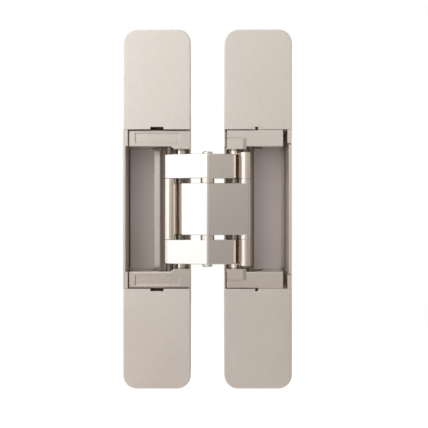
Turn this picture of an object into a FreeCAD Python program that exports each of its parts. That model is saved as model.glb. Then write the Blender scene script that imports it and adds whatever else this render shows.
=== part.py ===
import FreeCAD, Part
import math
import os

# Concealed door hinge with two crossing arms and adjustable leaves.
# It is built open at 180 degrees. While it is built, x = 0 is the middle of the gap between
# the leaves, y = 0 is their front face, +y runs into the door and the frame, and +z is up.
# Every leaf piece is drawn on the door's side, at +x, and mirrored for the frame's side.
# All lengths are in millimetres and all angles in degrees.

V = FreeCAD.Vector

# Leaves seen from the front
leaf_height = 160.0
leaf_width = 30.0
leaf_gap = 15.0
corner_radius = 6.0
cover_length = 44.5

# Leaf cases in depth
cover_thickness = 1.2
tray_depth = 4.6
flange_depth = 12.0
case_depth = 27.0
case_floor = 2.0
body_past_cover = 16.5
body_radius = 8.0

# Case walls
frame_rim = 1.0
door_rim = 1.3
inner_wall = 1.1
inner_wall_front = 1.6
inner_wall_edge = 0.3
inner_wall_slope = 1.0
wall_undercut = 0.5
undercut_front = 6.0
draft = 0.015
back_chamfer = 0.8
flange_chamfer = 0.4
tray_wall = 1.5
notch_past_pivot = 1.2
lip_depth = 3.5
frame_lip = 2.0
side_line = 0.28
door_lip = 1.9
door_lip_step = 1.4
lip_notch_height = 0.9
lip_notch_wall = 0.35

# Wood screw holes of the flanges
screw_radius = 2.6
sink_radius = 5.0
sink_depth = 2.4
outer_screw_edge = 8.0

# Crossing arms in plan: ridge, centre pin, fixed pivots and guide pins
ridge_front = 3.0
centre_depth = 0.3
pivot_inset = 4.9
pivot_depth = 8.2
guide_reach = 4.6
guide_rise = 3.7
face_past_pivot = 0.15
face_bevel_width = 1.1
face_bevel_depth = 1.7
ridge_radius = 2.5
plate_thickness = 4.6
centre_boss = 3.0
pivot_hub = 2.35
guide_hub = 3.0

# Stack of the blocks and arms, from the cover's edge towards the middle
block_height = 7.5
ear_drop = 1.3
pin_room = 2.2
spacer_room = 2.2
inner_arm_extra = 0.7
hub_gap = 0.2
sleeve_step = 1.5
sleeve_chamfer = 0.6
edge_break = 0.25

# Pins, collars and running gaps
pin_radius = 1.6
collar_radius = 2.45
head_radius = 2.25
head_height = 1.1
head_chamfer = 0.4
spacer_radius = 3.1
running_gap = 0.05
fixed_gap = 0.02
side_gap = 0.1
guide_gap = 0.08
guide_engagement = 3.5
guide_end_gap = 0.3

# Fold of the arms when the door turns through its whole range
door_turn = 180.0
inner_turn = 105.0
path_steps = 16

# Carriages that hold the pins
door_block_front = 0.9
block_break = 0.3
neck_front = 1.6
neck_slope = 2.8
line_depth = 3.0
block_gap = 0.1
joint_line = 0.4
floor_room = 4.5
ear_inset = 7.4
ear_slope = 1.7
ear_plate_half = 6.0
ear_plate_margin = 1.3
trough_reach = 14.3
trough_depth = 1.6
land_step = 0.6
land_width = 2.6
land_height = 0.8
land_margin = 0.6

# Recessed panel on the frame carriage
panel_inset = 4.95
panel_outset = 5.1
panel_margin_low = 1.5
panel_margin_high = 1.4
panel_depth = 0.5
panel_slope = 0.35

# Bearing blocks on the door carriage
bearing_front = 0.0
bearing_width = 7.1
bearing_height = 5.1
bearing_bevel = 1.5
bearing_gap = 0.2
bearing_behind_pin = 4.8
bearing_to_groove = 0.6

# Travel of the adjustments, and the shoes that carry the door carriage
height_travel = 3.0
side_travel = 1.6
depth_travel = 1.0
door_block_room = 0.7
frame_block_past_cover = 3.5
tongue_width = 6.0
tongue_height = 3.1
tongue_front_gap = 0.2
tongue_slope = 2.8
tongue_back_room = 3.0
shoe_width = 15.0
shoe_height = 5.6
shoe_front = 3.4
shoe_gap = 0.05

# Lock screws of the adjustments
lock_screw_step = 10.0
lock_radius = 1.6
lock_head_radius = 3.4
lock_head_height = 1.1
lock_head_gap = 0.3
lock_length = 8.0
lock_socket = 1.25
lock_socket_depth = 0.7

# Covers
pry_width = 5.8
pry_height = 1.1
pry_slit = 1.3
pry_recess = 0.3
peg_width = 3.0
peg_height = 1.4
peg_engagement = 1.1
peg_inset = 5.5
peg_edge = 15.0
cover_chamfer = 0.4

# Places worked out from the sizes above: across the leaf, in depth, and from the cover's edge
x_in = leaf_gap / 2
x_out = x_in + leaf_width
x_mid = (x_in + x_out) / 2
frame_pocket_out = x_out - frame_rim
door_pocket_out = x_out - door_rim
pocket_in = x_in + inner_wall
block_in = pocket_in + block_gap
frame_block_out = x_out - frame_lip - side_line
door_block_out = door_pocket_out - side_travel - door_block_room
pivot_in = x_in + pivot_inset
guide_in = pivot_in + guide_reach
face_end = pivot_in + face_past_pivot - face_bevel_width
trough_out = x_in + trough_reach
land_in = trough_out + land_step

pocket_depth = case_depth - case_floor
floor_front = pocket_depth - floor_room
guide_depth = pivot_depth - guide_rise
notch_depth = pivot_depth + notch_past_pivot
frame_block_front = cover_thickness + 2 * block_gap
ear_plate_front = cover_thickness + lock_head_height + lock_head_gap
peg_length = tray_depth - cover_thickness + peg_engagement

half_height = leaf_height / 2
cover_low = half_height - cover_length
body_half = cover_low + body_past_cover
block_low = cover_low - block_height
pivot_ear_low = block_low - ear_drop
prong_high = pivot_ear_low - pin_room
prong_low = prong_high - (prong_high - spacer_room - inner_arm_extra) / 2
inner_arm_half = prong_low - spacer_room
inner_hub_half = prong_low - hub_gap
sleeve_high = prong_high + sleeve_step
bearing_high = pivot_ear_low + bearing_height
land_half = block_low - land_margin
door_lip_low = block_low + door_lip_step
frame_block_high = cover_low + frame_block_past_cover
door_block_high = cover_low - block_gap
shoe_low = cover_low + 2 * block_gap
lock_screw_z = cover_low + lock_screw_step
outer_screw_z = half_height - outer_screw_edge
inner_screw_z = (lock_screw_z + outer_screw_z) / 2
outer_turn = door_turn - inner_turn

# Axes of the pins, seen in plan
pivot = V(pivot_in, pivot_depth, 0)
centre = V(0, centre_depth, 0)
guide = V(guide_in, guide_depth, 0)

# The roof of the arms starts at the ridge and touches the hub of the guide pin
ridge = V(0, -ridge_front, 0)
to_guide = guide - ridge
roof_slope = math.atan2(to_guide.y, to_guide.x) - math.asin(guide_hub / to_guide.Length)


def box(x0, x1, y0, y1, z0, z1):
    return Part.makeBox(x1 - x0, y1 - y0, z1 - z0, V(x0, y0, z0))


def rod(point, radius, z0, z1):
    return Part.makeCylinder(radius, z1 - z0, V(point.x, point.y, z0), V(0, 0, 1))


def tube(point, bore, radius, z0, z1):
    return rod(point, radius, z0, z1).cut(rod(point, bore, z0, z1))


def drill(x, z, radius, y0, y1):
    return Part.makeCylinder(radius, y1 - y0, V(x, y0, z), V(0, 1, 0))


def face_of(points):
    return Part.Face(Part.makePolygon(points + [points[0]]))


def prism(points, z0, z1):
    """A plan outline of (x, y) points, raised from z0 to z1."""
    return face_of([V(x, y, z0) for x, y in points]).extrude(V(0, 0, z1 - z0))


def plate(points, y0, y1):
    """A front outline of (x, z) points, run into the depth from y0 to y1."""
    return face_of([V(x, y0, z) for x, z in points]).extrude(V(0, y1 - y0, 0))


def side_prism(points, x0, x1):
    """A side outline of (y, z) points, run across from x0 to x1."""
    return face_of([V(x0, y, z) for y, z in points]).extrude(V(x1 - x0, 0, 0))


def round_plate(x0, x1, z0, z1, radius, y0, y1, corners=("in_low", "in_high", "out_low", "out_high")):
    """A plate seen from the front, with the named corners rounded."""
    body = box(x0, x1, y0, y1, z0, z1)
    places = {"in_low": (x0, z0), "in_high": (x0, z1), "out_low": (x1, z0), "out_high": (x1, z1)}
    edges = []
    for edge in body.Edges:
        low, high = edge.Vertexes[0].Point, edge.Vertexes[-1].Point
        along_depth = abs(low.x - high.x) + abs(low.z - high.z) < 1e-6
        if along_depth and any(abs(low.x - places[c][0]) + abs(low.z - places[c][1]) < 1e-6 for c in corners):
            edges.append(edge)
    return body.makeFillet(radius, edges)


def rounded_outline(x0, x1, z0, z1, radius, y):
    """A rectangle with four rounded corners, in a plane at the depth y."""
    shape = Part.Face(round_plate(x0, x1, z0, z1, radius, y, y + 1).slice(V(0, 1, 0), y + 0.5)[0])
    shape.translate(V(0, -0.5, 0))
    return shape.OuterWire


def tapered_plate(x0, x1, z0, z1, radius, y0, y1, chamfer):
    """A plate with rounded corners and a chamfered back, whose inner side and ends draw in backwards."""
    outlines = []
    for y, inset in ((y0, 0), (y1 - chamfer, 0), (y1, chamfer)):
        lean = inset + draft * (y - y0)
        outlines.append(rounded_outline(x0 + lean, x1 - inset, z0 + lean, z1 - lean, radius - inset, y))
    return Part.makeLoft(outlines, True, True)


def sunk_plate(x0, x1, z0, z1, y0, depth, slope):
    """A rectangle with sloping sides, to sink into a front face at the depth y0."""
    outlines = []
    for y, lean in ((y0 - depth, -slope), (y0 + depth, slope)):
        left, right, low, high = x0 + lean, x1 - lean, z0 + lean, z1 - lean
        corners = [(left, low), (right, low), (right, high), (left, high)]
        outlines.append(face_of([V(x, y, z) for x, z in corners]).OuterWire)
    return Part.makeLoft(outlines, True, True)


def slot_plate(x0, x1, z, radius, y0, y1):
    """A slot along x, cut through the depth."""
    return box(x0, x1, y0, y1, z - radius, z + radius).fuse(
        [drill(x0, z, radius, y0, y1), drill(x1, z, radius, y0, y1)]
    )


def upright_slot(x, z0, z1, radius, y0, y1):
    """A slot along z, cut through the depth."""
    return box(x - radius, x + radius, y0, y1, z0, z1).fuse(
        [drill(x, z0, radius, y0, y1), drill(x, z1, radius, y0, y1)]
    )


def below(shape):
    """The same shape on the lower end of the hinge."""
    return shape.mirror(V(0, 0, 0), V(0, 0, 1))


def both_ends(shape):
    return [shape, below(shape)]


def on_frame(shape):
    """A shape of the door's side, mirrored to the frame's side."""
    return shape.mirror(V(0, 0, 0), V(1, 0, 0))


def turn(vector, degrees):
    angle = math.radians(degrees)
    c, s = math.cos(angle), math.sin(angle)
    return V(c * vector.x - s * vector.y, s * vector.x + c * vector.y, 0)


# Travel of the guide pin as the arms fold, seen in the leaf that it slides in.
# On the door's side the arm that is pivoted there turns clockwise, and takes the centre pin with it.
def guide_place(fold):
    centre_now = pivot + turn(centre - pivot, fold * inner_turn)
    return centre_now + turn(guide - centre, fold * outer_turn)


def guide_groove(half_width, z0, z1):
    """The curved groove that a guide pin runs in, as a solid to cut away."""
    step = 1e-4
    left, right = [], []
    for i in range(path_steps + 1):
        fold = i / path_steps
        ahead = guide_place(min(fold + step, 1)) - guide_place(max(fold - step, 0))
        ahead.normalize()
        side = V(-ahead.y, ahead.x, 0) * half_width
        left.append(guide_place(fold) + side)
        right.append(guide_place(fold) - side)
    first = guide_place(0) - guide_place(step)
    last = guide_place(1) - guide_place(1 - step)
    first.normalize()
    last.normalize()
    up, down = Part.BSplineCurve(), Part.BSplineCurve()
    up.interpolate(left)
    down.interpolate(right)
    ends = [
        Part.Arc(left[-1], guide_place(1) + last * half_width, right[-1]),
        Part.Arc(right[0], guide_place(0) + first * half_width, left[0]),
    ]
    outline = Part.Wire(Part.__sortEdges__([c.toShape() for c in (up, down, *ends)]))
    face = Part.Face(outline)
    face.translate(V(0, 0, z0))
    return face.extrude(V(0, 0, z1 - z0))


def roof(x):
    """Depth of the arms' front faces at a distance from the ridge."""
    return -ridge_front + abs(x) * math.tan(roof_slope)


def touch_point(hub_centre, radius, corner, side):
    """Where a line from a corner touches a hub, on the side given by the sign."""
    away = corner - hub_centre
    angle = math.degrees(math.acos(radius / away.Length))
    reach = turn(away, side * angle)
    reach.normalize()
    return hub_centre + reach * radius


def hull_of_hubs(first, first_radius, second, second_radius, z0, z1):
    """Two hubs with a web between them that touches both."""
    span = second - first
    lean = math.degrees(math.acos((first_radius - second_radius) / span.Length))
    points = []
    for sign in (1, -1):
        reach = turn(span, sign * lean)
        reach.normalize()
        points.append((first + reach * first_radius, second + reach * second_radius))
    corners = [points[0][0], points[0][1], points[1][1], points[1][0]]
    web = prism([(p.x, p.y) for p in corners], z0, z1)
    return web.fuse([rod(first, first_radius, z0, z1), rod(second, second_radius, z0, z1)])


def arm_body(z0, z1):
    """One storey of an arm that is pivoted on the door's side and guided on the frame's side."""
    far_guide = V(-guide.x, guide.y, 0)
    corner = V(face_end, roof(face_end), 0)
    bevel_end = corner + V(face_bevel_width, face_bevel_depth, 0)
    side_touch = touch_point(pivot, pivot_hub, bevel_end, 1)
    normal = V(math.sin(-roof_slope), -math.cos(roof_slope), 0)
    front_touch = far_guide + normal * guide_hub
    back_guide = front_touch - normal * plate_thickness
    back_middle = V(0, -ridge_front + plate_thickness / math.cos(roof_slope), 0)
    wing = prism([(0, -ridge_front), (back_middle.x, back_middle.y), (back_guide.x, back_guide.y),
                  (front_touch.x, front_touch.y)], z0, z1)
    shoulder = prism([(0, -ridge_front), (corner.x, corner.y), (bevel_end.x, bevel_end.y),
                      (side_touch.x, side_touch.y), (pivot.x, pivot.y), (centre.x, centre.y)], z0, z1)
    web = hull_of_hubs(pivot, pivot_hub, centre, centre_boss, z0, z1)
    hub = rod(far_guide, guide_hub, z0, z1)
    body = wing.fuse([shoulder, web, hub]).removeSplitter()
    ridge_edge = [
        e for e in body.Edges
        if all(abs(v.Point.x) + abs(v.Point.y + ridge_front) < 1e-6 for v in e.Vertexes)
    ]
    return body.makeFillet(ridge_radius, ridge_edge)


def broken_ends(shape):
    """Takes the sharpness off the level edges at the two ends of an arm."""
    top, bottom = shape.BoundBox.ZMax, shape.BoundBox.ZMin
    edges = [
        e for e in shape.Edges
        if all(abs(v.Point.z - top) < 1e-6 for v in e.Vertexes)
        or all(abs(v.Point.z - bottom) < 1e-6 for v in e.Vertexes)
    ]
    return shape.makeChamfer(edge_break, edges)


def prong(z0, z1):
    """An upper or lower prong of the outer arm, which runs on the door's pivot pin."""
    body = broken_ends(arm_body(z0, z1))
    bores = [
        rod(pivot, pin_radius + running_gap, z0 - 1, z1 + 1),
        rod(centre, pin_radius + fixed_gap, z0 - 1, z1 + 1),
        rod(V(-guide.x, guide.y, 0), pin_radius + fixed_gap, z0 - 1, z1 + 1),
    ]
    return body.cut(bores)


def inner_arm():
    """The arm between the prongs. It runs on the frame's pivot pin and on the centre pin."""
    storey = broken_ends(arm_body(-inner_arm_half, inner_arm_half))
    far_guide = V(-guide.x, guide.y, 0)
    hub = rod(far_guide, guide_hub, -inner_hub_half, inner_hub_half)
    reach = leaf_height
    bores = [
        rod(pivot, pin_radius + running_gap, -reach, reach),
        rod(centre, pin_radius + running_gap, -reach, reach),
        rod(far_guide, pin_radius + fixed_gap, -reach, reach),
    ]
    return on_frame(storey.fuse(hub).cut(bores))


def broken_face(shape, depth, size, sharp_above):
    """Takes the sharpness off the front edges of a plate, apart from one that lies above a height."""
    edges = [
        e for e in shape.Edges
        if all(abs(v.Point.y - depth) < 1e-6 for v in e.Vertexes) and e.BoundBox.ZMin < sharp_above
    ]
    return shape.makeChamfer(size, edges)


def flat_peg(x, room, y0, y1):
    """A flat peg under a cover, or with some room round it the slot that it snaps into."""
    across, up = peg_width / 2 + room, peg_height / 2 + room
    z = half_height - peg_edge
    return box(x - across, x + across, y0, y1, z - up, z + up)


def case_shell(pocket_out, lip_width, lip_low, deck_high):
    """A leaf's case with its deep middle, its mounting flanges and its front rim."""
    flange = tapered_plate(x_in, x_out, -half_height, half_height, corner_radius,
                           cover_thickness, flange_depth, flange_chamfer)
    middle = tapered_plate(x_in, x_out, -body_half, body_half, body_radius,
                           cover_thickness, case_depth, back_chamfer)
    rim_half = cover_low - block_gap
    rim = box(x_in, x_out, 0, cover_thickness, -rim_half, rim_half)
    shell = flange.fuse([middle, rim])
    tools = [
        box(pocket_in, pocket_out, -1, pocket_depth, -deck_high, deck_high),
        box(pocket_in, pocket_out + wall_undercut, undercut_front, pocket_depth, -block_low, block_low),
    ]
    tray = round_plate(x_in + tray_wall, x_out - tray_wall, cover_low, half_height - tray_wall,
                       corner_radius - tray_wall, 0, tray_depth, corners=("in_high", "out_high"))
    tools += both_ends(tray)
    for z in (inner_screw_z, outer_screw_z):
        hole = drill(x_mid, z, screw_radius, 0, flange_depth + 1)
        sink = Part.makeCone(sink_radius, screw_radius, sink_depth, V(x_mid, tray_depth, z), V(0, 1, 0))
        tools += both_ends(hole.fuse(sink))
    tools += both_ends(drill(x_mid, lock_screw_z, lock_radius + fixed_gap, 0, tray_depth + lock_length))
    for x in (x_in + peg_inset, x_out - peg_inset):
        tools += both_ends(flat_peg(x, fixed_gap, 0, cover_thickness + peg_length + 1))
    shell = shell.cut(tools)
    lip = box(x_out - lip_width, pocket_out, 0, lip_depth, lip_low, rim_half)
    return shell.fuse(both_ends(lip))


def frame_case():
    deck_high = frame_block_high + height_travel + 3 * block_gap
    shell = case_shell(frame_pocket_out, frame_lip, block_low, deck_high)
    notch = box(x_in - 1, pocket_in + 1, -1, notch_depth, -deck_high, deck_high)
    return on_frame(shell.cut(notch).removeSplitter())


def door_case():
    shell = case_shell(door_pocket_out, door_lip, door_lip_low, cover_low)
    notch = box(x_in - 1, pocket_in + 1, -1, notch_depth + depth_travel, -block_low, block_low)
    wall_top = [(x_in - 1, -1), (block_in, -1), (block_in, inner_wall_front + inner_wall_slope),
                (x_in + inner_wall_edge, inner_wall_front), (x_in - 1, inner_wall_front)]
    low_wall = prism(wall_top, -cover_low, cover_low)
    half = shoe_width / 2 + shoe_gap
    seat = box(x_mid - half, x_mid + half + side_travel, 0, pocket_depth,
               cover_low - 1, shoe_low + shoe_height + shoe_gap)
    lip_notch = box(door_pocket_out - 1, x_out - lip_notch_wall, -1, lip_depth,
                    door_lip_low - lip_notch_height, door_lip_low)
    return shell.cut([notch, low_wall] + both_ends(seat) + both_ends(lip_notch)).removeSplitter()


def cover(slit_only):
    """A snap-on cover plate for the upper end of a leaf."""
    plate_body = round_plate(x_in, x_out, cover_low, half_height, corner_radius, 0, cover_thickness,
                             corners=("in_high", "out_high"))
    front = [e for e in plate_body.Edges if e.BoundBox.YMax < 1e-6 and e.BoundBox.ZMax > cover_low + 1e-6]
    plate_body = plate_body.makeChamfer(cover_chamfer, front)
    pegs = [
        flat_peg(x, 0, cover_thickness, cover_thickness + peg_length)
        for x in (x_in + peg_inset, x_out - peg_inset)
    ]
    low, high = cover_low - 1, cover_low + pry_height
    left, right = x_mid - pry_width / 2, x_mid + pry_width / 2
    if slit_only:
        middle = x_mid - pry_slit / 2
        notch = box(middle - pry_slit / 2, middle + pry_slit / 2, -1, cover_thickness + 1, low, high)
        notch = notch.fuse(box(left, right, -1, pry_recess, low, high))
    else:
        notch = box(left, right, -1, cover_thickness + 1, low, high)
    return plate_body.cut(notch).fuse(pegs)


def cavity_floor(outer, back):
    """The floor between two end blocks, with a trough behind the arms."""
    trough = box(block_in, trough_out, floor_front + trough_depth, back, -block_low, block_low)
    return trough.fuse(box(trough_out, outer, floor_front, back, -block_low, block_low))


def frame_carriage():
    """The sliding carriage in the frame's case: two end blocks joined by the cavity floor."""
    back = pocket_depth - block_gap
    outer = frame_pocket_out - 2 * block_gap
    block_out = frame_block_out
    ear_in = x_in + ear_inset
    face_high = cover_low - joint_line
    outline = [(x_in, pivot_ear_low), (ear_in, pivot_ear_low), (ear_in + ear_slope, block_low),
               (block_out, block_low), (block_out, face_high), (x_in, face_high)]
    block = broken_face(plate(outline, frame_block_front, back), frame_block_front, block_break, half_height)
    neck = [(neck_front, face_high), (neck_front + neck_slope, frame_block_high),
            (back, frame_block_high), (back, face_high)]
    block = block.fuse([
        side_prism(neck, x_in, block_out),
        box(block_out, outer, lip_depth + block_gap, back, block_low, frame_block_high),
    ])
    ear_high = lock_screw_z + height_travel + lock_radius + ear_plate_margin
    ear = box(x_mid - ear_plate_half, x_mid + ear_plate_half, ear_plate_front, tray_depth,
              cover_low + 2 * pry_height, ear_high)
    block = block.fuse(ear)
    slot = upright_slot(x_mid, lock_screw_z - height_travel, lock_screw_z + height_travel,
                        lock_radius + side_gap, 0, tray_depth + 1)
    head_room = upright_slot(x_mid, lock_screw_z - height_travel, lock_screw_z + height_travel,
                             lock_head_radius + side_gap, 0, ear_plate_front)
    panel = sunk_plate(x_in + panel_inset, x_out - panel_outset, block_low + panel_margin_low,
                       cover_low - panel_margin_high, frame_block_front, panel_depth, panel_slope)
    tools = [
        slot,
        head_room,
        panel,
        box(x_in - 1, block_in, notch_depth - block_gap, back + 1, 0, leaf_height),
        rod(pivot, pin_radius + fixed_gap, 0, frame_block_high - 1),
        guide_groove(pin_radius + guide_gap, 0, block_low + guide_engagement),
    ]
    block = block.cut(tools)
    land = box(land_in, land_in + land_width, floor_front - land_height, floor_front,
               -land_half, land_half)
    return on_frame(cavity_floor(outer, back).fuse([land] + both_ends(block)).removeSplitter())


def bearing_outline(inner):
    """The bearing block in plan. It steps back beside the guide pin's groove."""
    outer = block_in + bearing_width
    waist = guide_in - pin_radius - bearing_to_groove
    step = guide_depth - pin_radius - bearing_to_groove
    back = pivot_depth + bearing_behind_pin
    return [(inner, bearing_front), (outer, bearing_front), (outer + bearing_bevel, door_block_front),
            (outer, door_block_front), (outer, step), (waist, step), (waist, back), (inner, back)]


def door_carriage():
    """The carriage in the door's case. Its tongues slide in depth in the shoes."""
    back = pocket_depth - depth_travel - 2 * block_gap
    block = box(block_in, door_block_out, door_block_front, back, block_low, door_block_high)
    block = broken_face(block, door_block_front, block_break, door_block_high - block_break)
    line = box(block_in - 1, x_mid, 0, line_depth, cover_low - joint_line, cover_low)
    tongue_front = shoe_front + tongue_front_gap
    tongue_back = pocket_depth - tongue_back_room
    tongue_high = door_block_high + tongue_height
    tongue_side = [(tongue_front, door_block_high), (tongue_front + tongue_slope, tongue_high),
                   (tongue_back, tongue_high), (tongue_back, door_block_high)]
    tongue = side_prism(tongue_side, x_mid - tongue_width / 2, x_mid + tongue_width / 2)
    tools = [
        line,
        prism(bearing_outline(x_in), 0, bearing_high),
        rod(pivot, pin_radius + fixed_gap, 0, bearing_high + 1),
        guide_groove(pin_radius + guide_gap, 0, block_low + guide_engagement),
    ]
    block = block.fuse(tongue).cut(tools)
    floor = cavity_floor(door_pocket_out + wall_undercut - side_travel - block_gap, back)
    return floor.fuse(both_ends(block)).removeSplitter()


def door_bearing():
    """The block that holds the upper end of the door's pivot pin."""
    body = prism(bearing_outline(block_in), pivot_ear_low, bearing_high - bearing_gap)
    return body.cut(rod(pivot, pin_radius + fixed_gap, 0, leaf_height))


def door_shoe():
    """The shoe that slides sideways in the door's case and carries a tongue of the carriage."""
    high = shoe_low + shoe_height
    body = box(x_mid - shoe_width / 2, x_mid + shoe_width / 2, shoe_front, pocket_depth - block_gap,
               shoe_low, high)
    ear_high = lock_screw_z + lock_radius + 2 * ear_plate_margin
    ear = box(x_mid - ear_plate_half, x_mid + ear_plate_half, ear_plate_front, tray_depth - shoe_gap,
              high - 1, ear_high)
    half = tongue_width / 2 + shoe_gap
    groove = box(x_mid - half, x_mid + half, 0, case_depth, 0, door_block_high + tongue_height + shoe_gap)
    slot = slot_plate(x_mid - side_travel, x_mid, lock_screw_z, lock_radius + side_gap, 0, tray_depth + 1)
    return body.fuse(ear).cut([groove, slot])


def lock_screw():
    """A lock screw with a hexagon socket, in the upper end of a case."""
    top = ear_plate_front - shoe_gap
    head = drill(x_mid, lock_screw_z, lock_head_radius, top - lock_head_height, top)
    shank = drill(x_mid, lock_screw_z, lock_radius, top, tray_depth + lock_length - 1)
    spokes = [turn(V(lock_socket, 0, 0), 60 * i) for i in range(6)]
    corners = [(x_mid + spoke.x, lock_screw_z + spoke.y) for spoke in spokes]
    socket = plate(corners, top - lock_head_height - 1, top - lock_head_height + lock_socket_depth)
    return head.fuse(shank).cut(socket)


def guide_sleeve():
    """The sleeve on the upper half of the door's guide pin. Its upper end is chamfered."""
    low, shoulder = inner_hub_half + side_gap, sleeve_high - sleeve_chamfer
    tip = Part.makeCone(guide_hub, guide_hub - sleeve_chamfer, sleeve_chamfer, V(guide.x, guide.y, shoulder))
    bore = rod(guide, pin_radius + fixed_gap, low, sleeve_high)
    return rod(guide, guide_hub, low, shoulder).fuse(tip).cut(bore)


def centre_pin():
    """The pin of the ridge, with a low head at each end."""
    head_low = prong_high + running_gap
    head_top = head_low + head_height - head_chamfer
    seat = V(centre.x, centre.y, head_top)
    tip = Part.makeCone(head_radius, head_radius - head_chamfer, head_chamfer, seat)
    head = rod(centre, head_radius, head_low, head_top).fuse(tip)
    return rod(centre, pin_radius, -prong_high - 1, prong_high + 1).fuse(both_ends(head))


def build():
    """Every piece by its name."""
    guide_end = block_low + guide_engagement - guide_end_gap
    frame_pivot = V(-pivot.x, pivot.y, 0)
    frame_guide = V(-guide.x, guide.y, 0)
    collar_high = pivot_ear_low - side_gap
    bore = pin_radius + fixed_gap
    frame_collar = tube(frame_pivot, bore, collar_radius, inner_arm_half + side_gap, collar_high)
    door_collar = tube(pivot, bore, collar_radius, prong_high + side_gap, collar_high)
    spacer = tube(centre, bore, spacer_radius, inner_arm_half + side_gap, prong_low)
    return {
        "frame_case": frame_case(),
        "frame_cover_top": on_frame(cover(False)),
        "frame_cover_bottom": below(on_frame(cover(False))),
        "frame_lock_screws": Part.makeCompound(both_ends(on_frame(lock_screw()))),
        "frame_carriage": frame_carriage(),
        "frame_pivot_pin": rod(frame_pivot, pin_radius, -frame_block_high + 1, frame_block_high - 1),
        "frame_collar_upper": frame_collar,
        "frame_collar_lower": below(frame_collar),
        "inner_arm": inner_arm(),
        "door_guide_pin": rod(guide, pin_radius, -guide_end, guide_end),
        "door_guide_sleeve_upper": guide_sleeve(),
        "door_guide_sleeve_lower": below(guide_sleeve()),
        "outer_arm_upper": prong(prong_low, prong_high),
        "outer_arm_lower": below(prong(prong_low, prong_high)),
        "centre_pin": centre_pin(),
        "centre_spacer_upper": spacer,
        "centre_spacer_lower": below(spacer),
        "frame_guide_pin": rod(frame_guide, pin_radius, -guide_end, guide_end),
        "frame_guide_sleeve": tube(frame_guide, bore, guide_hub, -prong_low + side_gap, prong_low - side_gap),
        "door_carriage": door_carriage(),
        "door_bearing_top": door_bearing(),
        "door_bearing_bottom": below(door_bearing()),
        "door_pivot_pin": rod(pivot, pin_radius, -bearing_high, bearing_high),
        "door_collar_middle": tube(pivot, bore, collar_radius, -prong_low + side_gap, prong_low - side_gap),
        "door_collar_upper": door_collar,
        "door_collar_lower": below(door_collar),
        "door_shoe_top": door_shoe(),
        "door_shoe_bottom": below(door_shoe()),
        "door_case": door_case(),
        "door_cover_top": cover(True),
        "door_cover_bottom": below(cover(True)),
        "door_lock_screws": Part.makeCompound(both_ends(lock_screw())),
    }


def main():
    """Moves every piece so that the origin is the middle of the frame leaf's screws, and saves it."""
    os.makedirs("parts", exist_ok=True)
    to_mount = V(x_mid, -flange_depth, 0)
    for name, shape in build().items():
        shape.translate(to_mount)
        assert shape.isValid(), name
        shape.exportStep("parts/" + name + ".step")
    print("closed gap", round(2 * -(pivot + turn(centre - pivot, inner_turn)).y, 3))
    print("ratios", -(inner_turn - outer_turn) / inner_turn, 1.0)
    print("axes", [(p.x + to_mount.x, p.y + to_mount.y) for p in (V(-pivot.x, pivot.y, 0), centre, pivot)])


if __name__ == "__main__":
    main()
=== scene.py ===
from collections import namedtuple
import math

import bmesh
import bpy
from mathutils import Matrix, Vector


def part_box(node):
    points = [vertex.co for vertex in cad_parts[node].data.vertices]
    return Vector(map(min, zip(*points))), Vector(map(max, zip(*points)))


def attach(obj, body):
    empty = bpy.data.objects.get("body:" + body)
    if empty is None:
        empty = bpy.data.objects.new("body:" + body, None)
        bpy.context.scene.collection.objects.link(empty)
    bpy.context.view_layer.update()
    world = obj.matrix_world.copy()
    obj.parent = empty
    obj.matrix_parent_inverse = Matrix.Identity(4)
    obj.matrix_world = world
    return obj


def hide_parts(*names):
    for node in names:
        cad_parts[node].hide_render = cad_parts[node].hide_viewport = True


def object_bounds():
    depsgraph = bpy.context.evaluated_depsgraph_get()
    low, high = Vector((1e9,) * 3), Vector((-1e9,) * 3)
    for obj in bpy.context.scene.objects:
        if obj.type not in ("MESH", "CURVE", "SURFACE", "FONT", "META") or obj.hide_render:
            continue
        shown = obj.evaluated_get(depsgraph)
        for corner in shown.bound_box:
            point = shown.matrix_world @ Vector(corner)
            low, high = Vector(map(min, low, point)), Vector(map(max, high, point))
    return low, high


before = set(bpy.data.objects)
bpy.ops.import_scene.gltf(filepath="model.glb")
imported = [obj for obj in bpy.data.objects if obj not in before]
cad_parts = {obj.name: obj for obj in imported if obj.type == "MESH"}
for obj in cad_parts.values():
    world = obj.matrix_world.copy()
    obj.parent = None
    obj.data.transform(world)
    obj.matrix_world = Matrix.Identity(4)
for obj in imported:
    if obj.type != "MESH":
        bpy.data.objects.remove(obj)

bl_info = {
    "name": "Concealed Door Hinge",
    "version": (1, 0, 0),
    "blender": (4, 5, 0),
    "location": "3D View > Sidebar > Hinge",
    "description": "Satin nickel, lock screws and a plain studio for a concealed door hinge",
    "category": "Object",
}

# The grain's size along each axis and its depth, in metres
Grain = namedtuple("Grain", "x y z depth")
# Dull metal in the pockets, darker with depth: part its own unplated finish, part painted shade.
# The depths where it starts and is full, in metres, and its roughness
Cavity = namedtuple("Cavity", "colour start full roughness")

# The CAD model's box, before anything is added
cad_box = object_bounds()

# The picture, and where the middle of the hinge shows in it, in pixels
picture_size = 428
centre_across = 207.5
centre_down = 209.05
pixels_per_metre = 2248.0

# Where the pockets of the leaves lie, in metres: out from the gap's middle, up, and back
pocket_near = 0.0080
pocket_far = 0.0372
pocket_half = 0.0445
pocket_back = 0.0123
mask_edge = 0.0001

# Depths where the floor of a pocket goes over into the trough beside the arms, and into the
# trough's painted brown shade, in metres
trough_start = 0.0088
trough_full = 0.0098

# Patterns of the metals, in metres along x, y and z
speck_size = (0.00012, 0.00012, 0.00012)
mottle_size = (0.0013, 0.0013, 0.0017)
cloud_size = (0.018, 0.018, 0.025)

# How much each pattern adds to a metal's tone, its roughness and its relief
cloud_tone, mottle_tone, streak_tone = 0.35, 0.5, 0.15
cloud_gloss, streak_gloss = 0.10, 0.12
streak_relief, speck_relief = 0.6, 0.4
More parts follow.
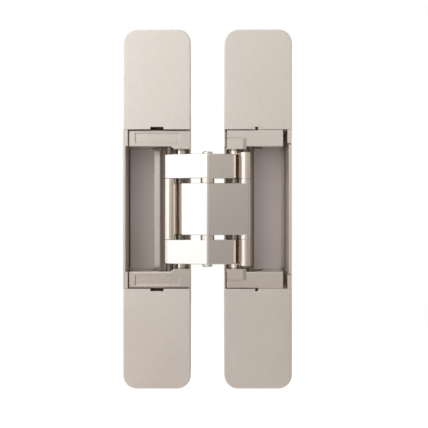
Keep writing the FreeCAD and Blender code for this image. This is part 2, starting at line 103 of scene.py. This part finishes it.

# The dull metal's patterns, and how much it keeps of a metal's mirror. Its colour is darker than
# the plating, partly as painted shade
dull_clouds, dull_specks = 0.6, 0.4
dull_tone = 0.07
dull_gloss = 0.08
dull_loss = 0.8

# Painted shade on the collars between the arms: the height over which it fades out, and how dark it
# makes them
gap_shade_edge = 0.0006
gap_shade_level = 0.30

# Painted shade: the same finish made darker or lighter on each casting and on the guide pins, as
# light falls on them
frame_carriage_painted_shade = 0.925
door_carriage_painted_shade = 0.99
frame_case_painted_shade = 0.92
guide_pin_painted_shade = 0.22

# Corners of a turned shape and of a hexagon, and the angle that still shades smooth, in degrees
round_sides = 48
hexagon_sides = 6
smooth_angle = 25
bevel_samples = 6

white = (1.0, 1.0, 1.0, 1.0)

# The light tent changes over these bands. Angles go round from the camera, in radians, and
# heights are shares of the tent's radius.
left_band = (0.04, 0.47)
far_left_band = (0.45, 0.80)
right_band = (0.15, 0.62)
far_right_band = (2.0, 2.7)
lens_band = (0.02, 0.08)
cool_band = (0.2, 0.6)
height_band = (-0.36, 0.30)
warm_band = (-0.28, -0.07)
card_rise = (-0.17, -0.11)
card_fall = (-0.09, -0.03)

# What the parts of the tent add to its strength, or take away
tent_level = 0.69
left_light = 0.95
far_left_shade = 0.38
right_shade = 0.23
far_right_light = 0.25
low_level = 0.50
high_light = 0.86
lens_shade = 0.22
card_light = 0.22

# Tints of the tent
front_tint = (1.0, 0.988, 0.962, 1.0)
right_tint = (1.0, 0.972, 0.918, 1.0)
left_tint = (0.92, 1.0, 1.06, 1.0)
low_tint = (1.0, 0.80, 0.68, 1.0)


class FinishSettings(bpy.types.PropertyGroup):
    """Colours and gloss of the metal pieces."""

    nickel: bpy.props.FloatVectorProperty(
        name="Nickel", description="Satin nickel of the covers and blocks", subtype="COLOR",
        size=3, min=0, max=1, default=(0.74, 0.67, 0.615))
    arm: bpy.props.FloatVectorProperty(
        name="Arm nickel", description="Smoother nickel of the crossing arms", subtype="COLOR",
        size=3, min=0, max=1, default=(0.78, 0.71, 0.66))
    steel: bpy.props.FloatVectorProperty(
        name="Pin steel", description="Ground steel of the pins, collars and screws",
        subtype="COLOR", size=3, min=0, max=1, default=(0.78, 0.70, 0.62))
    # The pockets' floor and wall colours are darker than the nickel: part dull unplated metal, part
    # painted shade
    cavity: bpy.props.FloatVectorProperty(
        name="Pocket floor", description="Dull metal on the floors of the pockets",
        subtype="COLOR", size=3, min=0, max=1, default=(0.63, 0.56, 0.55))
    wall: bpy.props.FloatVectorProperty(
        name="Pocket wall", description="Dull metal on the walls of the pockets",
        subtype="COLOR", size=3, min=0, max=1, default=(0.65, 0.55, 0.47))
    # Painted shade: the brown colour of the troughs beside the arms
    trough: bpy.props.FloatVectorProperty(
        name="Trough", description="Brown shade in the troughs beside the arms", subtype="COLOR",
        size=3, min=0, max=1, default=(0.50, 0.40, 0.33))
    satin: bpy.props.FloatProperty(
        name="Cover roughness", description="Roughness of the covers", subtype="FACTOR",
        min=0, max=1, default=0.45)
    case_satin: bpy.props.FloatProperty(
        name="Case roughness", description="Roughness of the cases", subtype="FACTOR",
        min=0, max=1, default=0.37)
    carriage_satin: bpy.props.FloatProperty(
        name="Carriage roughness", description="Roughness of the carriages and bearing blocks",
        subtype="FACTOR", min=0, max=1, default=0.27)
    polish: bpy.props.FloatProperty(
        name="Arm roughness", description="Roughness of the arms and pins", subtype="FACTOR",
        min=0, max=1, default=0.20)
    # Roughness of the guide pins, whose dark colour is painted shade
    guide_pin_roughness: bpy.props.FloatProperty(
        name="Oiled roughness", description="Roughness of the oiled guide pins",
        subtype="FACTOR", min=0, max=1, default=0.30)
    screw: bpy.props.FloatProperty(
        name="Screw roughness", description="Roughness of the lock screws", subtype="FACTOR",
        min=0, max=1, default=0.28)
    grain_length: bpy.props.FloatProperty(
        name="Grain length", description="Length of a brushing stroke on the covers",
        subtype="DISTANCE", unit="LENGTH", min=0.0001, default=0.004)
    edge_radius: bpy.props.FloatProperty(
        name="Edge radius", description="Rounding that the polishing leaves on an edge",
        subtype="DISTANCE", unit="LENGTH", min=0, default=0.00012)


class ScrewSettings(bpy.types.PropertyGroup):
    """Sizes of the lock screws inside the leaves."""

    head_height: bpy.props.FloatProperty(
        name="Head height", description="Height of a screw's head", subtype="DISTANCE",
        unit="LENGTH", min=0.0005, default=0.0011)
    chamfer: bpy.props.FloatProperty(
        name="Head chamfer", description="Chamfer round the front of the head",
        subtype="DISTANCE", unit="LENGTH", min=0, default=0.0002)
    shank_radius: bpy.props.FloatProperty(
        name="Shank radius", description="Radius over the thread", subtype="DISTANCE",
        unit="LENGTH", min=0.0005, default=0.0016)
    thread_depth: bpy.props.FloatProperty(
        name="Thread depth", description="From the thread's crest to its root",
        subtype="DISTANCE", unit="LENGTH", min=0.00005, default=0.00025)
    pitch: bpy.props.FloatProperty(
        name="Thread pitch", description="From one crest to the next", subtype="DISTANCE",
        unit="LENGTH", min=0.0002, default=0.0005)
    neck: bpy.props.FloatProperty(
        name="Plain neck", description="Plain length under the head", subtype="DISTANCE",
        unit="LENGTH", min=0, default=0.0008)
    socket_radius: bpy.props.FloatProperty(
        name="Socket radius", description="From the middle of the hexagon socket to a corner",
        subtype="DISTANCE", unit="LENGTH", min=0.0002, default=0.00125)
    socket_depth: bpy.props.FloatProperty(
        name="Socket depth", description="Depth of the hexagon socket", subtype="DISTANCE",
        unit="LENGTH", min=0.0001, default=0.0007)


class StageSettings(bpy.types.PropertyGroup):
    """Camera, floor and light."""

    distance: bpy.props.FloatProperty(
        name="Camera distance", description="From the lens to the front of the leaves",
        subtype="DISTANCE", unit="LENGTH", min=0.1, default=0.34)
    sensor: bpy.props.FloatProperty(
        name="Sensor width", description="Width of the camera's sensor in millimetres",
        min=1, default=36.0)
    near_clip: bpy.props.FloatProperty(
        name="Near clip", description="Nearest distance that the camera shows",
        subtype="DISTANCE", unit="LENGTH", min=0.001, default=0.01)
    floor_size: bpy.props.FloatProperty(
        name="Floor size", description="Side of the square floor", subtype="DISTANCE",
        unit="LENGTH", min=1, default=8.0)
    floor_drop: bpy.props.FloatProperty(
        name="Floor drop", description="From the hinge's lower end down to the floor",
        subtype="DISTANCE", unit="LENGTH", min=0, default=0.60)
    floor_tone: bpy.props.FloatProperty(
        name="Floor tone", description="How light the floor is", subtype="FACTOR",
        min=0, max=1, default=0.82)
    floor_glow: bpy.props.FloatProperty(
        name="Floor glow", description="What lifts the floor to white for the camera",
        min=0, default=0.5)
    tent_radius: bpy.props.FloatProperty(
        name="Tent radius", description="Radius of the light tent", subtype="DISTANCE",
        unit="LENGTH", min=0.5, default=1.6)
    ambient: bpy.props.FloatProperty(
        name="Ambient light", description="Strength of the light from all round",
        min=0, default=0.6)


class Value:
    """A shader socket. Operators between it and numbers, or others like it, add Math nodes."""

    def __init__(self, sheet, socket):
        self.sheet = sheet
        self.socket = socket

    def __add__(self, other):
        return self.sheet.math("ADD", self, other)

    def __sub__(self, other):
        return self.sheet.math("SUBTRACT", self, other)

    def __rsub__(self, other):
        return self.sheet.math("SUBTRACT", other, self)

    def __mul__(self, other):
        return self.sheet.math("MULTIPLY", self, other)

    def __truediv__(self, other):
        return self.sheet.math("DIVIDE", self, other)

    def __neg__(self):
        return self.sheet.math("SUBTRACT", 0.0, self)

    def __abs__(self):
        return self.sheet.math("ABSOLUTE", self, 0.0)


class Sheet:
    """A node tree, and the ways in which nodes are added to it."""

    def __init__(self, tree):
        self.tree = tree
        tree.nodes.clear()

    def node(self, kind, settings=None, inputs=None, out=0):
        """Adds a node, with its settings first and then the values or links of its sockets."""
        made = self.tree.nodes.new(kind)
        for name, value in (settings or {}).items():
            setattr(made, name, value)
        for key, value in (inputs or {}).items():
            if isinstance(value, Value):
                self.tree.links.new(value.socket, made.inputs[key])
            else:
                made.inputs[key].default_value = value
        return Value(self, made.outputs[out]) if made.outputs else made

    def several(self, kind, outs, inputs=None):
        """Adds a node, and gives several of its outputs."""
        first = self.node(kind, None, inputs, outs[0])
        return [Value(self, first.socket.node.outputs[out]) for out in outs]

    def math(self, operation, a, b):
        return self.node("ShaderNodeMath", {"operation": operation}, {0: a, 1: b})

    def mix(self, factor, a, b):
        """A colour between two colours."""
        return self.node("ShaderNodeMix", {"data_type": "RGBA"}, {0: factor, 6: a, 7: b}, out=2)

    def noise(self, place, size, detail=2.0):
        """Noise from 0 to 1 round 0.5, with its size in metres along each axis."""
        point = self.node("ShaderNodeVectorMath", {"operation": "MULTIPLY"},
                          {0: place, 1: [1 / s for s in size]})
        return self.node("ShaderNodeTexNoise", {"noise_dimensions": "3D"},
                         {"Vector": point, "Scale": 1.0, "Detail": detail, "Roughness": 0.5})

    def ease(self, value, low, high):
        """0 below low and 1 above high, with a smooth step between them."""
        return self.node("ShaderNodeMapRange", {"interpolation_type": "SMOOTHSTEP"},
                         {"Value": value, "From Min": low, "From Max": high,
                          "To Min": 0.0, "To Max": 1.0})

    def past(self, value, edge):
        """1 past an edge, and 0 before it."""
        return self.ease(value, edge, edge + mask_edge)

    def places(self):
        """The point's place on the piece, as a vector and as its three numbers."""
        place = self.node("ShaderNodeTexCoord", out="Object")
        return place, self.several("ShaderNodeSeparateXYZ", ("X", "Y", "Z"), {"Vector": place})


def colour(rgb, share=1.0):
    """A colour with its alpha, made lighter or darker."""
    return [min(1.0, c * share) for c in rgb] + [1.0]


def new_material(name):
    material = bpy.data.materials.new(name)
    material.use_nodes = True
    return material, Sheet(material.node_tree)


def inside_leaf(sheet, x, y, z):
    """1 on the walls of the pockets, and 0 on the outside of the leaves."""
    reach = abs(x - (cad_box[0][0] + cad_box[1][0]) / 2)
    across = sheet.past(reach, pocket_near) * (1 - sheet.past(reach, pocket_far))
    return across * (1 - sheet.past(abs(z), pocket_half)) * (1 - sheet.past(y, pocket_back))


def metal(name, rgb, roughness, grain, cavity=None, tone=0.04, shade=1.0, shaded_height=None):
    """A plated metal with fine grain, cloudy gloss and softened edges. tone is how far its
    tone goes up and down, and shade makes it all lighter or darker, as painted shade. cavity is
    for metal that lies deep in a leaf, which turns dull and darker with depth: part its own
    unplated finish, part painted shade. The last argument is the height below which painted
    shade darkens it, between the arms."""
    finish = bpy.context.scene.hinge_finish
    rgb = [c * shade for c in rgb]
    material, sheet = new_material(name)
    place, (x, y, z) = sheet.places()
    streaks = sheet.noise(place, grain[:3], detail=3.0)
    specks = sheet.noise(place, speck_size, detail=1.0)
    mottle = sheet.noise(place, mottle_size, detail=1.0)
    clouds = sheet.noise(place, cloud_size)
    pattern = clouds * cloud_tone + mottle * mottle_tone + streaks * streak_tone
    base = sheet.mix(pattern, colour(rgb, 1 - tone), colour(rgb, 1 + tone))
    gloss = (clouds - 0.5) * cloud_gloss + (streaks - 0.5) * streak_gloss + roughness
    plated = 1.0
    # Deep in the pockets the metal turns dull and darker: part its own finish, part painted shade
    if cavity:
        deep = sheet.ease(y, cavity.start, cavity.full) * inside_leaf(sheet, x, y, z)
        dull = sheet.mix(clouds * dull_clouds + specks * dull_specks,
                         colour(cavity.colour, 1 - dull_tone), colour(cavity.colour, 1 + dull_tone))
        # The troughs beside the arms get painted brown shade
        dull = sheet.mix(sheet.ease(y, trough_start, trough_full), dull, colour(finish.trough))
        base = sheet.mix(deep, base, dull)
        gloss = gloss * (1 - deep) + ((specks - 0.5) * dull_gloss + cavity.roughness) * deep
        plated = 1 - deep * dull_loss
    # Painted shade between the arms: below the given height the colour is darkened
    if shaded_height:
        gap_shade = 1 - sheet.ease(abs(z), shaded_height, shaded_height + gap_shade_edge)
        base = sheet.mix(gap_shade, base, colour(rgb, gap_shade_level))
    relief = (streaks * streak_relief + specks * speck_relief) * grain.depth
    soft = sheet.node("ShaderNodeBevel", {"samples": bevel_samples},
                      {"Radius": finish.edge_radius})
    bump = sheet.node("ShaderNodeBump", None,
                      {"Strength": 1.0, "Distance": 1.0, "Height": relief, "Normal": soft})
    shader = sheet.node("ShaderNodeBsdfPrincipled", None,
                        {"Base Color": base, "Metallic": plated, "Roughness": gloss,
                         "Normal": bump})
    sheet.node("ShaderNodeOutputMaterial", None, {"Surface": shader})
    return material


def assign(material, *names):
    """Gives CAD nodes the material."""
    for name in names:
        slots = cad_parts[name].material_slots
        if not slots:
            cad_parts[name].data.materials.append(material)
        for slot in slots:
            slot.material = material


class FinishCovers(bpy.types.Operator):
    """Gives the four cover plates their satin nickel"""

    bl_idname = "hinge.finish_covers"
    bl_label = "Finish Covers"

    def execute(self, context):
        finish = context.scene.hinge_finish
        grain = Grain(0.00009, 0.00009, finish.grain_length, 0.0000035)
        assign(metal("cover_satin_nickel", finish.nickel, finish.satin, grain, tone=0.09),
               "frame_cover_top", "frame_cover_bottom", "door_cover_top", "door_cover_bottom")
        return {"FINISHED"}


class FinishCarriages(bpy.types.Operator):
    """Gives the carriages, bearing blocks and shoes their nickel, each in its own painted shade,
    and dull and darker inside the pockets: part unplated metal, part painted shade
    """

    bl_idname = "hinge.finish_carriages"
    bl_label = "Finish Carriages"

    def execute(self, context):
        finish = context.scene.hinge_finish
        look = (finish.nickel, finish.carriage_satin, Grain(0.00012, 0.00012, 0.00030, 0.0000018),
                Cavity(finish.cavity, 0.0078, 0.0084, 0.45))
        # Each carriage gets its own painted shade of the same nickel
        assign(metal("frame_carriage_nickel", *look, tone=0.02, shade=frame_carriage_painted_shade),
               "frame_carriage")
        assign(metal("door_carriage_nickel", *look, tone=0.02, shade=door_carriage_painted_shade),
               "door_carriage", "door_bearing_top", "door_bearing_bottom", "door_shoe_top",
               "door_shoe_bottom")
        return {"FINISHED"}


class FinishArms(bpy.types.Operator):
    """Gives the crossing arms their smoother nickel"""

    bl_idname = "hinge.finish_arms"
    bl_label = "Finish Arms"

    def execute(self, context):
        finish = context.scene.hinge_finish
        grain = Grain(0.00010, 0.00010, 0.0030, 0.0000015)
        assign(metal("arm_nickel", finish.arm, finish.polish, grain, tone=0.02),
               "inner_arm", "outer_arm_upper", "outer_arm_lower")
        return {"FINISHED"}


class FinishPins(bpy.types.Operator):
    """Gives the pins, sleeves, collars and spacers their turned steel, with painted shade on the
    collars between the arms and on the guide pins
    """

    bl_idname = "hinge.finish_pins"
    bl_label = "Finish Pins"

    def execute(self, context):
        finish = context.scene.hinge_finish
        grain = Grain(0.0030, 0.0030, 0.00008, 0.0000015)
        assign(metal("pin_steel", finish.steel, finish.polish, grain, tone=0.03),
               "frame_pivot_pin", "door_pivot_pin", "centre_pin", "centre_spacer_upper",
               "centre_spacer_lower", "door_guide_sleeve_upper", "door_guide_sleeve_lower",
               "frame_guide_sleeve")
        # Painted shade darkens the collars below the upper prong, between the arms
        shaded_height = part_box("outer_arm_upper")[0].z
        assign(metal("collar_gap_shade", finish.steel, finish.polish, grain, tone=0.03,
                     shaded_height=shaded_height),
               "frame_collar_upper", "frame_collar_lower", "door_collar_middle",
               "door_collar_upper", "door_collar_lower")
        # The guide pins are darkened all over with painted shade
        assign(metal("guide_pin_steel_shaded", finish.steel, finish.guide_pin_roughness, grain, tone=0.03,
                     shade=guide_pin_painted_shade),
               "frame_guide_pin", "door_guide_pin")
        return {"FINISHED"}


class FinishCases(bpy.types.Operator):
    """Gives the two leaf cases their plated zinc, dull and darker inside the pockets: part unplated
    metal, part painted shade; the frame's case in painted shade darker than the door's
    """

    bl_idname = "hinge.finish_cases"
    bl_label = "Finish Cases"

    def execute(self, context):
        finish = context.scene.hinge_finish
        look = (finish.nickel, finish.case_satin, Grain(0.00015, 0.00015, 0.00040, 0.000004),
                Cavity(finish.wall, -0.0105, -0.006, 0.40))
        # The frame's case gets painted shade, darker than the door's
        assign(metal("frame_case_zinc", *look, shade=frame_case_painted_shade), "frame_case")
        assign(metal("door_case_zinc", *look), "door_case")
        return {"FINISHED"}


class AddLockScrews(bpy.types.Operator):
    """Models one threaded lock screw with a hexagon socket, and copies it to its four places"""

    bl_idname = "hinge.add_lock_screws"
    bl_label = "Add Lock Screws"

    def execute(self, context):
        finish, screw = context.scene.hinge_finish, context.scene.hinge_screw
        grain = Grain(0.0020, 0.00008, 0.0020, 0.000002)
        material = metal("screw_steel", finish.steel, finish.screw, grain, tone=0.05)
        assign(material, "frame_lock_screws", "door_lock_screws")
        places = [(leaf, end, self.screw_front(leaf, end))
                  for leaf in ("frame", "door") for end in ("top", "bottom")]
        low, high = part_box("frame_lock_screws")
        first = places[0][2]
        model = self.turned_screw(screw, first, (high.x - low.x) / 2, high.y)
        self.cut_socket(screw, model, first)
        model.data.materials.clear()
        model.data.materials.append(material)
        # Copied before it rides, so that a copy takes over no body from it
        pieces = [model] + [self.copy_to(model, front - first) for _, _, front in places[1:]]
        for piece, (leaf, end, _) in zip(pieces, places):
            piece.name = "%s_lock_screw_%s" % (leaf, end)
            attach(piece, leaf + "_leaf")
            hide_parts(leaf + "_lock_screws")
        return {"FINISHED"}

    def screw_front(self, leaf, end):
        """The middle of a screw's front. A node holds the two screws of its leaf."""
        low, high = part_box(leaf + "_lock_screws")
        radius = (high.x - low.x) / 2
        return Vector((low.x + radius, low.y, high.z - radius if end == "top" else low.z + radius))

    def turned_screw(self, screw, front, head_radius, tip):
        """A screw along y, drawn out from its point towards its head, section by section.
        The thread is a row of rings, as fine as the pitch."""
        root = screw.shank_radius - screw.thread_depth
        room = tip - front.y - screw.head_height - screw.neck
        turns = int(room / screw.pitch)
        # The last ring ends on its crest, at the neck, so the thread is half a pitch shorter
        point = room - (turns - 0.5) * screw.pitch
        bpy.ops.object.select_all(action="DESELECT")
        bpy.ops.mesh.primitive_cylinder_add(
            vertices=round_sides, radius=root, depth=point, rotation=(math.radians(90), 0, 0),
            location=(front.x, tip - point / 2, front.z))
        piece = bpy.context.object
        bpy.ops.object.transform_apply(location=True, rotation=True, scale=True)
        to_crest, to_root = (screw.pitch / 2, screw.shank_radius), (screw.pitch / 2, root)
        sections = [to_crest, to_root] * (turns - 1) + [
            to_crest,
            (screw.neck, screw.shank_radius),
            (0, head_radius),
            (screw.head_height - screw.chamfer, head_radius),
            (screw.chamfer, head_radius - screw.chamfer),
        ]
        bpy.ops.object.mode_set(mode="EDIT")
        bpy.ops.mesh.select_all(action="DESELECT")
        bpy.ops.mesh.select_mode(type="FACE")
        shape = bmesh.from_edit_mesh(piece.data)
        headward = min(shape.faces, key=lambda face: face.normal.y)
        headward.select = True
        bmesh.update_edit_mesh(piece.data)
        now = root
        for length, radius in sections:
            bpy.ops.mesh.extrude_region_move(TRANSFORM_OT_translate={"value": (0, -length, 0)})
            share = radius / now
            bpy.ops.transform.resize(value=(share, 1, share), center_override=front)
            now = radius
        bpy.ops.object.mode_set(mode="OBJECT")
        bpy.ops.object.shade_smooth_by_angle(angle=math.radians(smooth_angle))
        return piece

    def cut_socket(self, screw, piece, front):
        bpy.ops.object.select_all(action="DESELECT")
        bpy.ops.mesh.primitive_cylinder_add(
            vertices=hexagon_sides, radius=screw.socket_radius, depth=screw.socket_depth * 2,
            rotation=(math.radians(90), 0, 0), location=front)
        socket = piece.modifiers.new("socket", "BOOLEAN")
        socket.object = bpy.context.object
        socket.solver = "EXACT"
        bpy.context.view_layer.objects.active = piece
        bpy.ops.object.modifier_apply(modifier=socket.name)
        # Only the cutter is selected
        bpy.ops.object.delete()

    def copy_to(self, model, shift):
        bpy.ops.object.select_all(action="DESELECT")
        model.select_set(True)
        bpy.context.view_layer.objects.active = model
        bpy.ops.object.duplicate(linked=False)
        bpy.ops.transform.translate(value=shift)
        bpy.ops.object.transform_apply(location=True, rotation=True, scale=True)
        return bpy.context.object


class BuildStage(bpy.types.Operator):
    """Adds the camera, the pale floor, the light from all round and the light tent"""

    bl_idname = "hinge.build_stage"
    bl_label = "Build Stage"

    def execute(self, context):
        stage = context.scene.hinge_stage
        low, high = Vector(cad_box[0]), Vector(cad_box[1])
        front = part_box("frame_cover_top")[0].y
        middle = Vector(((low.x + high.x) / 2, front, (low.z + high.z) / 2))
        self.add_camera(context, stage, middle)
        self.add_floor(stage, middle, low)
        self.add_world(context, stage)
        self.add_tent(stage, middle)
        return {"FINISHED"}

    def add_camera(self, context, stage, middle):
        data = bpy.data.cameras.new("camera")
        data.sensor_width = stage.sensor
        data.lens = stage.sensor * stage.distance * pixels_per_metre / picture_size
        data.shift_x = (picture_size / 2 - centre_across) / picture_size
        data.shift_y = (centre_down - picture_size / 2) / picture_size
        data.clip_start = stage.near_clip
        camera = bpy.data.objects.new("camera", data)
        context.scene.collection.objects.link(camera)
        camera.location = middle - Vector((0, stage.distance, 0))
        camera.rotation_euler = (math.radians(90), 0, 0)
        context.scene.camera = camera

    def add_floor(self, stage, middle, low):
        bpy.ops.mesh.primitive_plane_add(size=stage.floor_size,
                                         location=(middle.x, middle.y, low.z - stage.floor_drop))
        floor = bpy.context.object
        floor.name = "stage_floor"
        material, sheet = new_material("floor_white")
        seen = sheet.node("ShaderNodeLightPath", out="Is Camera Ray")
        diffuse = sheet.node("ShaderNodeBsdfDiffuse", None,
                             {"Color": colour([stage.floor_tone] * 3)})
        glow = sheet.node("ShaderNodeEmission", None,
                          {"Color": white, "Strength": seen * stage.floor_glow})
        both = sheet.node("ShaderNodeAddShader", None, {0: diffuse, 1: glow})
        sheet.node("ShaderNodeOutputMaterial", None, {"Surface": both})
        floor.data.materials.append(material)

    def add_world(self, context, stage):
        """White where it is seen or reflected, and dimmer as a light."""
        world = bpy.data.worlds.new("studio")
        world.use_nodes = True
        context.scene.world = world
        sheet = Sheet(world.node_tree)
        camera, through, glossy = sheet.several(
            "ShaderNodeLightPath", ("Is Camera Ray", "Is Transmission Ray", "Is Glossy Ray"))
        seen = camera + through + glossy
        strength = sheet.math("MINIMUM", seen * (1 - stage.ambient) + stage.ambient, 1.0)
        light = sheet.node("ShaderNodeBackground", None, {"Color": white, "Strength": strength})
        sheet.node("ShaderNodeOutputWorld", None, {"Surface": light})

    def add_tent(self, stage, middle):
        """A round tent of soft light, bright on the left and above, dimmer on the right,
        and warm below."""
        bpy.ops.mesh.primitive_uv_sphere_add(segments=48, ring_count=24,
                                             radius=stage.tent_radius, location=middle)
        tent = bpy.context.object
        tent.name = "stage_tent"
        bpy.ops.object.mode_set(mode="EDIT")
        bpy.ops.mesh.select_all(action="SELECT")
        bpy.ops.mesh.flip_normals()
        bpy.ops.object.mode_set(mode="OBJECT")
        bpy.ops.object.shade_smooth()
        material, sheet = new_material("tent_light")
        _, (x, y, z) = sheet.places()
        angle = sheet.math("ARCTAN2", x, -y)
        height = z / stage.tent_radius
        left = sheet.ease(-angle, *left_band)
        far_left = sheet.ease(-angle, *far_left_band)
        right = sheet.ease(angle, *right_band)
        far_right = sheet.ease(angle, *far_right_band)
        lens = 1 - sheet.ease(abs(angle), *lens_band)
        card = sheet.ease(height, *card_rise) * (1 - sheet.ease(height, *card_fall))
        tint = sheet.mix(right, front_tint, right_tint)
        tint = sheet.mix(sheet.ease(-angle, *cool_band), tint, left_tint)
        tint = sheet.mix(sheet.ease(height, *warm_band), low_tint, tint)
        strength = (left * left_light - far_left * far_left_shade - right * right_shade
                    + far_right * far_right_light + tent_level)
        strength = strength * (sheet.ease(height, *height_band) * high_light + low_level)
        strength = strength * (1 - lens * lens_shade) * (card * card_light + 1)
        glow = sheet.node("ShaderNodeEmission", None, {"Color": tint, "Strength": strength})
        sheet.node("ShaderNodeOutputMaterial", None, {"Surface": glow})
        tent.data.materials.append(material)
        tent.visible_camera = False
        tent.visible_shadow = False


class HingePanel(bpy.types.Panel):
    """Lists the settings and the steps that dress the hinge."""

    bl_idname = "HINGE_PT_steps"
    bl_label = "Concealed Hinge"
    bl_space_type = "VIEW_3D"
    bl_region_type = "UI"
    bl_category = "Hinge"

    def draw(self, context):
        scene = context.scene
        for settings in (scene.hinge_finish, scene.hinge_screw, scene.hinge_stage):
            for name in settings.__annotations__:
                self.layout.prop(settings, name)
        for step in STEPS:
            self.layout.operator(step.bl_idname)


STEPS = (FinishCovers, FinishCarriages, FinishArms, FinishPins, FinishCases, AddLockScrews,
         BuildStage)
CLASSES = (FinishSettings, ScrewSettings, StageSettings) + STEPS + (HingePanel,)


def register():
    for cls in CLASSES:
        bpy.utils.register_class(cls)
    bpy.types.Scene.hinge_finish = bpy.props.PointerProperty(type=FinishSettings)
    bpy.types.Scene.hinge_screw = bpy.props.PointerProperty(type=ScrewSettings)
    bpy.types.Scene.hinge_stage = bpy.props.PointerProperty(type=StageSettings)


def unregister():
    del bpy.types.Scene.hinge_finish
    del bpy.types.Scene.hinge_screw
    del bpy.types.Scene.hinge_stage
    for cls in reversed(CLASSES):
        bpy.utils.unregister_class(cls)


def main():
    register()
    bpy.ops.object.select_all(action="DESELECT")
    bpy.context.scene.view_settings.view_transform = "Standard"
    for step in STEPS:
        group, name = step.bl_idname.split(".")
        getattr(getattr(bpy.ops, group), name)()


if __name__ == "__main__":
    main()
